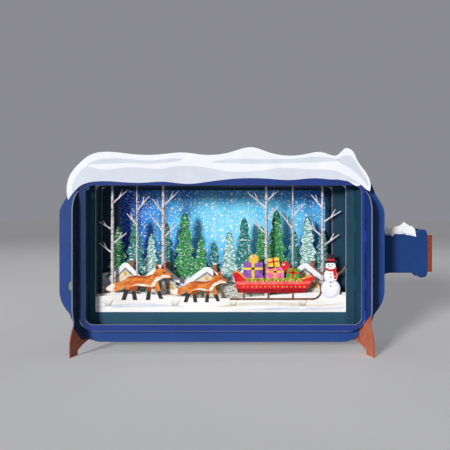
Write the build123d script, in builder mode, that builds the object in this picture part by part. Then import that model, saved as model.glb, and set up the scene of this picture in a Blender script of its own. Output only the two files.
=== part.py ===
"""A pop-up greeting card shaped like a bottle that lies on its side.

Two folded side walls stand on feet. The sheets between them are slotted into the walls: a front
frame, the bottle's body, four layers of a winter picture, and two sheets with the bottle's neck.
X runs along the bottle, Y from the front to the back, Z up. Sizes are in millimetres.
"""
from build123d import *
import math
import os

# The sheets
card = 0.8
fit = 0.15  # free width on each side of a sheet in its slot
fold_radius = 1.2

# The bottle's body, with its lower edge this far over the table
body_bottom = 7.3
body_height = 134.4
body_top = body_bottom + body_height
wing = 13.8  # the body stands out this far beyond the walls' front edges
# The front sheet's corners are cut off aslant: width, height, bend at the long edge, bend at the side
upper_slant = (19.6, 32.5, 20, 16)
lower_slant = (24.5, 31.5, 15, 24)
rear_corner = 26  # upper corners of the two rear sheets
base_corner_width = 19  # lower corners of the two rear sheets
base_corner_height = 25

# Side walls, folded inwards half way back
wall_front = 111  # from the middle of the body to a wall's front edge
wall_fold = 9.6  # the crease lies this far inside the front and back edges
wall_waist = wall_front - wall_fold
wall_depth = 62
wall_drop = 17.7  # the walls end this far under the body's top
wall_top = body_top - wall_drop
wall_shoulder_depth = 14
wall_shoulder_height = 16
crease_depth = wall_depth / 2
wall_slope = (wall_front - wall_waist) / crease_depth

# Feet
toe = 3  # a foot stands out this far in front of its wall
toe_height = 8
sole_length = 10
heel_step = 3.1
arch_height = 8.2
ankle_height = 24
ankle_notch = 1.8
foot_top = 36

# Depths of the sheets' front faces behind the walls' front edges
front_frame_depth = 7.5
bottle_front_depth = 17
layer_step = 5.5
figures_depth = bottle_front_depth + layer_step
birch_depth = figures_depth + layer_step
cottage_depth = birch_depth + layer_step
fir_depth = cottage_depth + layer_step
bottle_mid_depth = fir_depth + layer_step
neck_gap = 11.2
bottle_back_depth = bottle_mid_depth + card + neck_gap

# Front frame
frame_gap = 0.5  # between a frame's side edge and the wall
front_frame_rise = 10  # its lower edge over the body's lower edge
front_frame_drop = 1.7  # its upper edge under the body's upper edge
front_bar_left = 4.7
front_bar_right = 2.5
front_bar_bottom = 5.2
front_bar_top = 12.7
front_window_radius = 6
front_corner_width = 13
front_corner_height = 10

# Tabs of the front frame rest on the lower ends of their slots. The middle one is hooked.
low_tab_height = wall_top * 0.228
hook_height = wall_top * 0.425
high_tab_height = wall_top * 0.717
hook_neck = 5.5
hook_drop = 3.9
hook_reach = 6
hook_play = 20.2  # free length of the slot over the hook
plain_tab = 8
plain_tab_reach = 1.5
high_tab_play = 9.4
slot_bridge = 2  # card left between the lowest slot and the hook's

# Body sheet behind the front frame
body_bar_bottom = 11.7
body_bar_top = 13.7
body_window_radius = 1.5

# Picture frames
picture_rise = 2
picture_drop = 5.7
picture_corner = 8
tab_heights = [wall_top * share for share in (0.42, 0.775)]
tab_height = 10
tab_reach = 2

# The picture is drawn in this unit, and its places along the card are shares of a frame's half
drawing_unit = 1

# Night sky window in the middle bottle sheet
sky_left = 82.3
sky_right = 83.7
sky_bottom = 52
sky_drop = 17.7
sky_radius = 5

# Neck and mouth of the bottle, measured along it from the end of the body
neck_bottom = 57.1
neck_height = 31.5
neck_length = 33.1
neck_fillet = 12
lip_length = 8.7
lip_overhang = 3.8
lip_shoulder = 2.4
lip_radius = 3.6
cork_reach = 4.3
cork_inset = 0.6  # the cork is this much narrower than the neck, above and below
cork_overlap = 14
neck_top = neck_bottom + neck_height

# Snow on the neck
neck_snow_start = 6.6

body_half = wall_front + wing
lip_end = body_half + neck_length + lip_length
cork_end = lip_end + cork_reach

# The middle of the whole card lies over the origin
body_x = (body_half - cork_end) / 2
os.makedirs("parts", exist_ok=True)


def sheet_plane(depth):
    """Plane of a sheet's front face: X along the bottle, Y up, seen from the front."""
    return Plane(origin=(body_x, depth - crease_depth, 0), x_dir=(1, 0, 0), z_dir=(0, -1, 0))


def wall_middle(depth):
    """Distance of a wall's middle surface from the middle of the body."""
    return wall_waist + wall_slope * abs(crease_depth - depth)


def wall_half_width(depth):
    """Half of the wall's width along X where a sheet at this depth meets it."""
    slant = math.hypot(1, wall_slope)
    return card * slant / 2 + wall_slope * card / 2


def inside_half(depth):
    """From the middle of the body to the side edge of a sheet between the walls."""
    return wall_middle(depth + card / 2) - wall_half_width(depth) - frame_gap


def outside_half(depth):
    """From the middle of the body to a wall's outer face where a sheet at this depth meets it."""
    return wall_middle(depth + card / 2) + wall_half_width(depth)


def rounded_outline(left, right, bottom, top, lower_corner, upper_corner):
    """Closed outline of a box with elliptical corners, given as (width, height)."""
    low_w, low_h = lower_corner
    up_w, up_h = upper_corner
    with BuildLine() as outline:
        Line((left + low_w, bottom), (right - low_w, bottom))
        EllipticalCenterArc((right - low_w, bottom + low_h), low_w, low_h, 270, arc_size=90)
        Line((right, bottom + low_h), (right, top - up_h))
        EllipticalCenterArc((right - up_w, top - up_h), up_w, up_h, 0, arc_size=90)
        Line((right - up_w, top), (left + up_w, top))
        EllipticalCenterArc((left + up_w, top - up_h), up_w, up_h, 90, arc_size=90)
        Line((left, top - up_h), (left, bottom + low_h))
        EllipticalCenterArc((left + low_w, bottom + low_h), low_w, low_h, 180, arc_size=90)
    make_face(outline.edges())


def slanted_outline(half, bottom, top):
    """Closed outline of the front sheet, whose corners are cut off aslant and rounded."""
    low_w, low_h, low_bend, low_side_bend = lower_slant
    up_w, up_h, up_bend, up_side_bend = upper_slant
    right = [
        (half - low_w, bottom), (half, bottom + low_h), (half, top - up_h), (half - up_w, top),
    ]
    left = [(-x, z) for x, z in reversed(right)]
    bends = [low_bend, low_side_bend, up_side_bend, up_bend]
    with BuildLine() as outline:
        FilletPolyline(*right, *left, radius=bends + bends[::-1], close=True)
    make_face(outline.edges())


def window(left, right, bottom, top, radius):
    """Rounded opening cut out of the sketch."""
    with Locations(((left + right) / 2, (bottom + top) / 2)):
        RectangleRounded(right - left, top - bottom, radius, mode=Mode.SUBTRACT)


def save(part, name):
    part.label = name
    export_step(part, f"parts/{name}.step")


# Side walls. The fold is drawn from above and cut to the outline seen from the side.
def side_outline():
    """Front half of a wall's outline, from the sole round to the crease, and its mirror image."""
    half_top = wall_top - wall_shoulder_height
    with BuildLine() as half:
        Line((-toe, 0), (-toe + sole_length, 0))
        Line((-toe + sole_length, 0), (-toe + sole_length, heel_step))
        Spline(
            (-toe + sole_length, heel_step),
            (crease_depth, arch_height),
            tangents=((2, 1), (1, 0)),
        )
        Line((crease_depth, arch_height), (crease_depth, wall_top))
        Line((crease_depth, wall_top), (wall_shoulder_depth, wall_top))
        EllipticalCenterArc(
            (wall_shoulder_depth, half_top), wall_shoulder_depth, wall_shoulder_height, 90, arc_size=90
        )
        Line((0, half_top), (0, foot_top))
        Spline((0, foot_top), (ankle_notch, ankle_height), (-toe, toe_height), tangents=((0, -1), (0, -1)))
        Line((-toe, toe_height), (-toe, 0))
    make_face(half.edges())
    mirror(about=Plane.YZ.offset(crease_depth))


def side_slots():
    """Slots for hooks and tabs, and the slit that takes the body sheet from below."""
    width = card + 2 * fit
    hook_low = hook_height - hook_neck / 2
    slots = (
        (low_tab_height - plain_tab / 2, hook_low - slot_bridge),
        (hook_low, hook_low + hook_neck + hook_play),
        (high_tab_height - plain_tab / 2, high_tab_height + plain_tab / 2 + high_tab_play),
    )
    for low, high in slots:
        with Locations((front_frame_depth + card / 2, (low + high) / 2)):
            Rectangle(width, high - low + 2 * fit, mode=Mode.SUBTRACT)
    for depth in (figures_depth, birch_depth, cottage_depth, fir_depth):
        with Locations([(depth + card / 2, height) for height in tab_heights]):
            Rectangle(width, tab_height + 2 * fit, mode=Mode.SUBTRACT)
    slit_top = body_bottom + body_bar_bottom + body_window_radius + fit
    with Locations((bottle_front_depth + card / 2, slit_top / 2)):
        Rectangle(width, slit_top, mode=Mode.SUBTRACT)


for side, name in ((-1, "side_wall_left"), (1, "side_wall_right")):
    with BuildPart() as side_wall:
        with BuildSketch(Plane.XY):
            front = (body_x + side * (wall_front + wall_slope * toe), -toe - crease_depth)
            crease = (body_x + side * wall_waist, 0)
            back = (front[0], -front[1])
            with BuildLine():
                FilletPolyline(front, crease, back, radius=fold_radius)
            trace(line_width=card)
        extrude(amount=wall_top)
        side_plane = Plane(origin=(body_x, -crease_depth, 0), x_dir=(0, 1, 0), z_dir=(1, 0, 0))
        with BuildSketch(side_plane):
            side_outline()
            side_slots()
        extrude(amount=side * (wall_front + wing), mode=Mode.INTERSECT)
    save(side_wall.part, name)


# Front frame with its tabs
def hook(side, height):
    """Hooked tab that goes through a wall's slot and drops behind it."""
    start = inside_half(front_frame_depth) - frame_gap
    behind = outside_half(front_frame_depth) + fit
    end = behind + hook_reach
    top = height + hook_neck / 2
    points = [
        (start, top), (start, top - hook_neck), (behind, top - hook_neck),
        (behind, top - hook_neck - hook_drop), (end, top - hook_neck - hook_drop + hook_reach / 2),
        (end, top - hook_reach / 3), (end - hook_reach / 3, top),
    ]
    Polygon([(side * x, z) for x, z in points], align=None)


front_half = inside_half(front_frame_depth)
front_bottom = body_bottom + front_frame_rise
front_top = body_top - front_frame_drop
with BuildPart() as front_frame:
    with BuildSketch(sheet_plane(front_frame_depth)):
        front_corner = (front_corner_width, front_corner_height)
        rounded_outline(-front_half, front_half, front_bottom, front_top, front_corner, front_corner)
        for side in (-1, 1):
            hook(side, hook_height)
        with Locations([(0, low_tab_height), (0, high_tab_height)]):
            Rectangle(2 * (outside_half(front_frame_depth) + plain_tab_reach), plain_tab)
        window(
            front_bar_left - front_half,
            front_half - front_bar_right,
            front_bottom + front_bar_bottom,
            front_top - front_bar_top,
            front_window_radius,
        )
    extrude(amount=-card)
save(front_frame.part, "front_frame")


# Snow strip glued on the front frame. Points are shares of the distance to the wall, and heights
# over the walls' top in drawing units.
cap_crest = [
    (-1.063, -7.8), (-1.073, 1.5), (-1.043, 12.4), (-0.983, 20), (-0.914, 25.9), (-0.814, 28.4),
    (-0.636, 26.8), (-0.427, 26.5), (-0.268, 27.9), (-0.129, 26.2), (0.07, 28.5), (0.209, 31.8),
    (0.308, 28.6), (0.566, 26.4), (0.705, 27.7), (0.795, 25.9), (0.859, 31.2), (0.904, 28.7),
    (0.934, 22.2), (0.993, 13.2), (1.026, 4.7), (1.021, -1.2),
]
# The hem has a step near its right end, where one drift lies over the other.
cap_step = (0.955, 4)
cap_right_hem = [(1.021, -1.2), (0.993, 0.5), (0.975, 2.3), cap_step]
cap_hem = [
    cap_step, (0.948, 2.9), (0.938, 2.7), (0.912, 3.5), (0.882, 5.6), (0.852, 7.4), (0.78, 7.6),
    (0.665, 8.5), (0.467, 7.2), (0.328, 8.1), (0.089, 8.2), (-0.129, 5.4), (-0.238, 4.3),
    (-0.397, 5.9), (-0.566, 5.1), (-0.864, 6.2), (-0.978, 2.9), (-1.023, -1.6), (-1.063, -7.8),
]


def cap_point(share, height):
    return (share * wall_middle(front_frame_depth), wall_top + height * drawing_unit)


with BuildPart() as snow_cap:
    with BuildSketch(sheet_plane(front_frame_depth)):
        with BuildLine():
            Spline([cap_point(*point) for point in cap_crest])
            Spline([cap_point(*point) for point in cap_right_hem])
            Spline([cap_point(*point) for point in cap_hem])
        make_face()
    extrude(amount=card)
save(snow_cap.part, "snow_cap")


# Body sheet behind the front frame. Its lower bar sits in the walls' slits.
with BuildPart() as bottle_front:
    with BuildSketch(sheet_plane(bottle_front_depth)):
        slanted_outline(body_half, body_bottom, body_top)
        opening_half = outside_half(bottle_front_depth) + fit
        window(
            -opening_half,
            opening_half,
            body_bottom + body_bar_bottom,
            body_top - body_bar_top,
            body_window_radius,
        )
    extrude(amount=-card)
save(bottle_front.part, "bottle_front")


# Frames of the picture, each with its own ground line, held by tabs in the walls
def picture_frame(depth, bars, radius=4):
    """Sheet with a window and tabs. Its bars are given as left, right, bottom and top.

    Returns the window's edges in the same order.
    """
    half = inside_half(depth)
    bottom = body_bottom + picture_rise
    top = body_top - picture_drop
    corner = (picture_corner, picture_corner)
    rounded_outline(-half, half, bottom, top, corner, corner)
    reach = outside_half(depth) + tab_reach
    with Locations([(0, height) for height in tab_heights]):
        Rectangle(2 * reach, tab_height)
    left, right, low, high = [bar * drawing_unit for bar in bars]
    edges = (left - half, half - right, bottom + low, top - high)
    window(*edges, radius)
    return edges


def ground(edges, heights):
    """Land that fills the window's foot, its top line passing through evenly spaced heights."""
    left, right, bottom, _ = edges
    overlap = card
    step = (right - left + 2 * overlap) / (len(heights) - 1)
    line = [(left - overlap + i * step, bottom + h * drawing_unit) for i, h in enumerate(heights)]
    with BuildLine() as land:
        Spline(line)
        Polyline(line[-1], (line[-1][0], bottom - overlap), (line[0][0], bottom - overlap), line[0])
    make_face(land.edges())


class Pencil:
    """Draws shapes round a spot on the ground in drawing units, at a scale, facing +X or -X."""

    def __init__(self, x, foot, scale=1, facing=1):
        self.x = x
        self.foot = foot
        self.unit = scale * drawing_unit
        self.facing = facing

    def spot(self, dx, dz):
        return (self.x + self.facing * self.unit * dx, self.foot + self.unit * dz)

    def shape(self, *points):
        Polygon([self.spot(*point) for point in points], align=None)

    def smooth(self, *points):
        with BuildLine() as outline:
            Spline([self.spot(*point) for point in points], periodic=True)
        make_face(outline.edges())

    def oval(self, dx, dz, rx, rz, turn=0):
        with Locations(self.spot(dx, dz)):
            Ellipse(self.unit * rx, self.unit * rz, rotation=self.facing * turn)

    def block(self, dx, dz, width, height, turn=0):
        with Locations(self.spot(dx, dz)):
            Rectangle(self.unit * width, self.unit * height, rotation=self.facing * turn)


def fox(x, foot, scale, facing):
    """Fox that walks towards the side it faces, its brush held low behind it."""
    pencil = Pencil(x, foot, scale, facing)
    pencil.smooth(
        (12, 20.6), (4, 19.2), (-5, 19.6), (-12, 18), (-15, 13), (-12.5, 9), (-4, 10.6), (5, 9.4),
        (11, 9.6), (14, 14),
    )
    pencil.smooth((19.5, 25.6), (14, 25), (10, 20), (11, 14), (15.5, 15), (19, 17), (22.5, 18.4), (23, 22.4))
    pencil.shape((20, 25), (28, 19.4), (27, 17.6), (19, 17))
    pencil.shape((12.4, 23), (12.6, 31.5), (17, 25.4))
    pencil.shape((16.4, 25), (20, 31.4), (21, 24))
    pencil.shape((5, 12), (5.4, 6), (4, -2), (8, -2), (8.6, 6), (11, 12))
    pencil.shape((10, 13), (13.4, 5.6), (16, -1), (19.6, -1), (17, 6), (15, 14))
    pencil.shape((-13.5, 15), (-14.6, 7.5), (-17.6, -2), (-13.6, -2), (-10.6, 7), (-6, 12))
    pencil.shape((-10, 12), (-8.4, 6), (-7.4, -2), (-3.4, -2), (-4.8, 6), (-2, 12))
    pencil.smooth((-12, 17.6), (-18, 14), (-25, 12.6), (-31, 7.4), (-26, 5.4), (-19.5, 6.4), (-14, 11.6))


def sledge(x, foot):
    """Sledge heaped with parcels, its runner curling up at the right."""
    pencil = Pencil(x, foot)
    pencil.shape(
        (-31, 22), (-27, 6), (25, 6), (33, 18), (30, 20), (22, 17), (-20, 17.5), (-27, 23.5),
    )
    with BuildLine() as runner:
        Line(pencil.spot(-33, 1), pencil.spot(31, 1))
        CenterArc(pencil.spot(31, 8), 7 * pencil.unit, -90, 170)
    trace(runner.edges(), line_width=1.6 * pencil.unit)
    for post in (-22, -3, 16):
        pencil.block(post, 4, 1.6, 7)
    pencil.block(-15, 23, 15, 13)
    pencil.block(2, 21, 14, 10)
    pencil.block(1, 29, 9, 8, 8)
    pencil.block(16, 20.5, 10, 9, -6)
    pencil.oval(-14.5, 32, 4, 3.6)
    pencil.oval(10, 26.6, 3.4, 3.4)


def snowman(x, foot):
    """Three balls of snow with a hat and arms of twigs."""
    pencil = Pencil(x, foot)
    pencil.oval(0, 6, 7.4, 7.4)
    pencil.oval(0, 16, 5.4, 5.4)
    pencil.oval(0, 23.4, 4, 4)
    pencil.block(0, 26.8, 9.6, 1.6)
    pencil.block(0, 29.8, 6, 6)
    pencil.shape((-4, 17), (-9, 20), (-13, 23.6), (-13.4, 22.6), (-9.2, 18.4), (-4, 15.4))
    pencil.shape((4, 17), (9, 20.4), (12, 24.6), (12.6, 23.8), (9.4, 18.8), (4, 15.4))


with BuildPart() as figures_frame:
    with BuildSketch(sheet_plane(figures_depth)):
        edges = picture_frame(figures_depth, (4.7, 6.8, 20, 8.5))
        ground(edges, (12, 13.5, 14, 12.5, 11, 10.5, 11.5, 13, 14.5, 15, 12.5))
        half = inside_half(figures_depth)
        snow_line = edges[2] + 9 * drawing_unit
        fox(-0.61 * half, snow_line + 2 * drawing_unit, 0.88, 1)
        fox(-0.16 * half, snow_line, 0.76, 1)
        sledge(0.38 * half, snow_line)
        snowman(0.82 * half, snow_line + 3 * drawing_unit)
    extrude(amount=-card)
save(figures_frame.part, "figures_frame")


def branch(x, z, length, angle, width):
    """Tapering twig with a side twig, from a trunk at this height. Angle 0 points along +X."""
    turn = math.radians(angle)
    along = Vector(math.cos(turn), math.sin(turn))
    across = Vector(-along.Y, along.X) * (width / 2)
    root = Vector(x, z)
    tip = root + along * length
    tip_share = 0.45
    Polygon([root - across, tip - across * tip_share, tip + across * tip_share, root + across], align=None)
    if length > 11 * drawing_unit:
        side_turn = 28 if angle < 90 else -28
        fork = root + along * (length * 0.45)
        branch(fork.X, fork.Y, length * 0.42, angle + side_turn, width * 0.7)


def birch(x, foot, top, width, branches):
    """Trunk that narrows upwards. Branches are (share of the height, length, angle)."""
    low = width * drawing_unit / 2
    high = low * 0.64
    Polygon([(x - low, foot), (x + low, foot), (x + high, top), (x - high, top)], align=None)
    for share, length, angle in branches:
        branch(x, foot + share * (top - foot), length * drawing_unit, angle, 1.3 * drawing_unit)


# Places along the frame as shares of its half, trunk widths, and branches
birches = (
    (-0.85, 3, ((0.42, 13, 142), (0.62, 12, 150), (0.5, 14, 38), (0.84, 16, 42))),
    (-0.66, 1.8, ((0.66, 12, 132), (0.78, 15, 50))),
    (-0.455, 3.4, ((0.6, 15, 128), (0.55, 17, 45), (0.76, 14, 128), (0.82, 17, 44))),
    (0.345, 3.2, ((0.58, 17, 136), (0.7, 13, 50), (0.8, 19, 140), (0.86, 13, 42))),
    (0.55, 2, ((0.62, 15, 126), (0.74, 12, 44))),
    (0.78, 2.8, ((0.48, 16, 35), (0.56, 16, 140), (0.68, 17, 32), (0.8, 14, 130))),
)
with BuildPart() as birch_frame:
    with BuildSketch(sheet_plane(birch_depth)):
        edges = picture_frame(birch_depth, (2.9, 2.9, 22, 8.5))
        ground(edges, (11, 12.5, 12, 9.5, 8, 7.5, 8.5, 11, 13, 12))
        half = inside_half(birch_depth)
        for share, width, branches in birches:
            birch(share * half, edges[2] + 4 * drawing_unit, edges[3] + card, width, branches)
    extrude(amount=-card)
save(birch_frame.part, "birch_frame")


def cottage(x, foot, width, wall, roof):
    """House front with a snowy roof that overhangs, and a chimney."""
    pencil = Pencil(x, foot)
    side = width / 2
    eaves = side + width * 0.14
    ridge = width * 0.08
    pencil.shape(
        (-side, 0), (side, 0), (side, wall), (eaves, wall - 1), (eaves, wall + 2), (ridge, wall + roof),
        (-ridge, wall + roof), (-eaves, wall + 2), (-eaves, wall - 1), (-side, wall),
    )
    pencil.block(width * 0.24, wall + roof * 0.8, 3, roof * 0.9)


# Places along the frame as shares of its half, widths, and heights of walls and roofs
cottages = (
    (-0.757, 20, 14, 13), (-0.482, 24, 12, 13.5), (-0.118, 26, 11, 12.5), (0.216, 20, 13, 12),
    (0.65, 25, 13, 13.5),
)
with BuildPart() as cottage_frame:
    with BuildSketch(sheet_plane(cottage_depth)):
        edges = picture_frame(cottage_depth, (6.1, 13.9, 24, 9.5))
        ground(edges, (14, 18, 20.5, 19, 15, 14, 17, 20, 21, 17, 15, 18, 20))
        half = inside_half(cottage_depth)
        for share, width, wall, roof in cottages:
            cottage(share * half, edges[2] + 6 * drawing_unit, width, wall, roof)
    extrude(amount=-card)
save(cottage_frame.part, "cottage_frame")


def fir(x, foot, height, width, tiers=5):
    """Fir with drooping tiers."""
    left = []
    for tier in range(tiers):
        outer = width / 2 * (1 - 0.82 * tier / tiers)
        low = height * (0.06 + 0.94 * tier / tiers)
        high = height * (0.06 + 0.94 * (tier + 0.75) / tiers)
        left.append((-outer, low))
        left.append((-outer * 0.5, high))
    left.append((0, height))
    right = [(-dx, dz) for dx, dz in reversed(left[:-1])]
    Pencil(x, foot).shape(*left, *right)


# Places along the frame as shares of its half, heights and widths
firs = (
    (-0.81, 44, 21), (-0.677, 52, 22), (-0.551, 38, 17), (-0.435, 47, 21), (-0.29, 55, 24),
    (-0.164, 36, 17), (-0.058, 30, 15), (0.058, 40, 18), (0.174, 51, 22), (0.309, 44, 20),
    (0.425, 57, 24), (0.561, 41, 19), (0.667, 52, 22), (0.783, 42, 19),
)
with BuildPart() as fir_frame:
    with BuildSketch(sheet_plane(fir_depth)):
        edges = picture_frame(fir_depth, (6.7, 14.1, 26, 9.5))
        ground(edges, (22, 25, 27, 25, 23, 24, 27, 28, 26, 24, 25, 27))
        half = inside_half(fir_depth)
        for share, height, width in firs:
            fir(share * half, edges[2] + 16 * drawing_unit, height, width)
    extrude(amount=-card)
save(fir_frame.part, "fir_frame")


# Two rear sheets with the bottle's whole outline, slit from below over the walls
def neck_outline():
    """Neck with its mouth, joined to the end of the body by large fillets."""
    neck_end = body_half + neck_length
    root = body_half - rear_corner / 2
    with BuildLine() as neck:
        Line((root, neck_bottom - neck_fillet), (body_half, neck_bottom - neck_fillet))
        CenterArc((body_half + neck_fillet, neck_bottom - neck_fillet), neck_fillet, 180, -90)
        Line((body_half + neck_fillet, neck_bottom), (neck_end - lip_shoulder, neck_bottom))
        Polyline(
            (neck_end - lip_shoulder, neck_bottom),
            (neck_end, neck_bottom - lip_overhang / 2),
            (neck_end, neck_top + lip_overhang / 2),
            (neck_end - lip_shoulder, neck_top),
        )
        Line((neck_end - lip_shoulder, neck_top), (body_half + neck_fillet, neck_top))
        CenterArc((body_half + neck_fillet, neck_top + neck_fillet), neck_fillet, -90, -90)
        Line((body_half, neck_top + neck_fillet), (root, neck_top + neck_fillet))
        Line((root, neck_top + neck_fillet), (root, neck_bottom - neck_fillet))
    make_face(neck.edges())
    with Locations((neck_end + lip_length / 2, neck_bottom + neck_height / 2)):
        RectangleRounded(lip_length, neck_height + 2 * lip_overhang, lip_radius)


def rear_sheet(depth):
    """Bottle outline with slits for both walls, open at the bottom."""
    lower = (base_corner_width, base_corner_height)
    upper = (rear_corner, rear_corner)
    rounded_outline(-body_half, body_half, body_bottom, body_top, lower, upper)
    neck_outline()
    slit_top = wall_top + fit
    middle = wall_middle(depth + card / 2)
    with Locations([(side * middle, (body_bottom + slit_top) / 2) for side in (-1, 1)]):
        Rectangle(2 * (wall_half_width(depth) + fit), slit_top - body_bottom, mode=Mode.SUBTRACT)


with BuildPart() as bottle_mid:
    with BuildSketch(sheet_plane(bottle_mid_depth)):
        rear_sheet(bottle_mid_depth)
        window(-sky_left, sky_right, sky_bottom, body_top - sky_drop, sky_radius)
    extrude(amount=-card)
save(bottle_mid.part, "bottle_mid")

with BuildPart() as bottle_back:
    with BuildSketch(sheet_plane(bottle_back_depth)):
        rear_sheet(bottle_back_depth)
    extrude(amount=-card)
save(bottle_back.part, "bottle_back")


# Cork: a strip folded round the mouth's end, glued to the inner faces of both necks
cork_front = bottle_mid_depth + card - crease_depth
cork_back = bottle_back_depth - crease_depth
with BuildPart() as cork:
    with BuildSketch(Plane.XY.offset(neck_bottom + cork_inset)):
        leg_start = body_x + lip_end - cork_overlap
        leg_end = body_x + cork_end
        with Locations(((leg_start + leg_end) / 2, (cork_front + cork_back) / 2)):
            Rectangle(leg_end - leg_start, cork_back - cork_front)
        with Locations(((leg_start + leg_end) / 2 - card, (cork_front + cork_back) / 2)):
            Rectangle(leg_end - leg_start, cork_back - cork_front - 2 * card, mode=Mode.SUBTRACT)
    extrude(amount=neck_height - 2 * cork_inset)
    end_edges = cork.edges().filter_by(Axis.Z).group_by(Axis.X)[-1]
    fillet(end_edges, radius=card * 0.8)
save(cork.part, "cork")


# Snow on the neck, as distances along it from the end of the body and heights over its upper edge
neck_crest = [
    (0, 1.2), (2, 5.5), (4.3, 3.8), (9.5, 6.3), (12, 6.5), (16.2, 9.8), (20.5, 6.5), (22.3, 6.7), (25, 3.7),
]
neck_hem = [
    (26, -2.4), (23.3, -0.8), (18.5, -0.8), (16.8, 0.2), (12, 0), (8.6, 0.2), (6.7, -1.8), (3.4, 0.8),
    (2, -0.8),
]
with BuildPart() as neck_snow:
    with BuildSketch(sheet_plane(bottle_mid_depth)):
        snow_start = body_half + neck_snow_start
        points = [
            (snow_start + dx * drawing_unit, neck_top + dz * drawing_unit)
            for dx, dz in neck_crest + neck_hem
        ]
        Polygon(points, align=None)
    extrude(amount=card)
save(neck_snow.part, "neck_snow")
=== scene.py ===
import math
import random

import bpy
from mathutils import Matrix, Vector


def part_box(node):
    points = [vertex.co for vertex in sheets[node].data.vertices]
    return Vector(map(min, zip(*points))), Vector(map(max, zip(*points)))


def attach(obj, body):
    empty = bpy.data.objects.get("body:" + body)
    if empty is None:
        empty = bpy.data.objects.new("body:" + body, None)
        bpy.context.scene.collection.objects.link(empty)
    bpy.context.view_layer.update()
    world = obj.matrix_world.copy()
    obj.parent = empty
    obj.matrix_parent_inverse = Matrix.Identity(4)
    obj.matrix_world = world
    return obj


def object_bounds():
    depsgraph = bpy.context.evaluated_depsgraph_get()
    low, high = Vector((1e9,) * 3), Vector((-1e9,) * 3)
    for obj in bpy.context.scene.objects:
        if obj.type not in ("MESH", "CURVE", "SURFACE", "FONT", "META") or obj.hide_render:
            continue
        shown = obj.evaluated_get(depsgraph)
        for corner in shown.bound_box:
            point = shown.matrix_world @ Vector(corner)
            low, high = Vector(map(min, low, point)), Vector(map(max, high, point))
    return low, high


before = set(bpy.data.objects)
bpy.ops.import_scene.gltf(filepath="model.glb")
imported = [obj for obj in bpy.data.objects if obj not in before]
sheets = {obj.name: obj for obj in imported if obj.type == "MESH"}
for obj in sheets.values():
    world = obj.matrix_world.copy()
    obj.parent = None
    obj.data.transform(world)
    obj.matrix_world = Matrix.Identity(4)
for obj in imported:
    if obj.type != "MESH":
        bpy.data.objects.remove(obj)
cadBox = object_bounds()
print("frame loaded:", len(sheets), "sheets")

mm = 0.001
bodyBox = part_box("bottle_front")
bodyX = (bodyBox[0].x + bodyBox[1].x) / 2  # middle of the bottle's body
creaseY = (cadBox[0][1] + cadBox[1][1]) / 2
toe = 3 * mm  # the feet's toes stand this far in front of the walls' edges
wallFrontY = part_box("side_wall_left")[0].y + toe
crisp = 0.1 * mm  # a printed border changes colour over this width


# Materials

def paint(red, green, blue):  # a screen colour, 0 to 255, as the shader wants it
    def linear(value):  # the usual screen curve
        share = value / 255
        return share / 12.92 if share < 0.04045 else ((share + 0.055) / 1.055) ** 2.4

    return (linear(red), linear(green), linear(blue), 1)


def addNode(tree, kind, inputs=None, **settings):
    node = tree.nodes.new(kind)
    for key, value in settings.items():
        setattr(node, key, value)
    for name, value in (inputs or {}).items():
        if isinstance(value, bpy.types.NodeSocket):
            tree.links.new(value, node.inputs[name])
        else:
            node.inputs[name].default_value = value
    return node


def calc(tree, operation, first, second=0.0, third=0.0):
    return addNode(tree, "ShaderNodeMath", {0: first, 1: second, 2: third}, operation=operation).outputs[0]


def opposite(tree, share):
    return calc(tree, "SUBTRACT", 1.0, share)


def vectorCalc(tree, operation, first, second=(0, 0, 0)):
    return addNode(tree, "ShaderNodeVectorMath", {0: first, 1: second}, operation=operation).outputs


def blendColour(tree, share, first, second):
    node = addNode(tree, "ShaderNodeMix", {0: share, 6: first, 7: second}, data_type="RGBA")
    return node.outputs[2]


def places(tree):
    return addNode(tree, "ShaderNodeTexCoord").outputs["Object"]


def axes(tree, vector):
    return addNode(tree, "ShaderNodeSeparateXYZ", {0: vector}).outputs


def spot(tree):  # the place on the card, axis by axis
    return axes(tree, places(tree))


def noise(tree, size, detail=3.0, stretch=(1, 1, 1), roughness=0.5):  # size is a patch's width in mm
    mapping = addNode(tree, "ShaderNodeMapping", {"Vector": places(tree), "Scale": stretch})
    node = addNode(
        tree, "ShaderNodeTexNoise",
        {"Vector": mapping.outputs[0], "Scale": 1 / (size * mm), "Detail": detail, "Roughness": roughness},
    )
    return node.outputs[0]


def unevenness(tree, size, stray):  # a factor that strays this share to either side of 1
    return calc(tree, "MULTIPLY_ADD", noise(tree, size), stray * 2, 1 - stray)


def ramp(tree, share, stops):
    node = addNode(tree, "ShaderNodeValToRGB", {0: share})
    while len(node.color_ramp.elements) < len(stops):
        node.color_ramp.elements.new(0.5)
    for element, (position, colour) in zip(node.color_ramp.elements, stops):
        element.position = position
        element.color = colour
    return node.outputs[0]


def step(tree, value, edge, softness=crisp):  # 0 below the edge, 1 above it
    node = addNode(
        tree, "ShaderNodeMapRange",
        {0: value, 1: edge - softness / 2, 2: edge + softness / 2, 3: 0.0, 4: 1.0},
    )
    return node.outputs[0]


def roundedWindow(tree, left, right, bottom, top, radius):  # distance outside a window's cut edge, metres
    centre = (bodyX + (left + right) / 2 * mm, 0, (bottom + top) / 2 * mm)
    half = ((right - left) / 2 * mm - radius * mm, 1, (top - bottom) / 2 * mm - radius * mm)
    offset = vectorCalc(tree, "SUBTRACT", places(tree), centre)[0]
    folded = vectorCalc(tree, "ABSOLUTE", offset)[0]
    beyond = vectorCalc(tree, "SUBTRACT", folded, half)[0]
    outside = vectorCalc(tree, "MAXIMUM", beyond)[0]
    distance = vectorCalc(tree, "LENGTH", outside)[1]
    return calc(tree, "SUBTRACT", distance, radius * mm)


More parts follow.
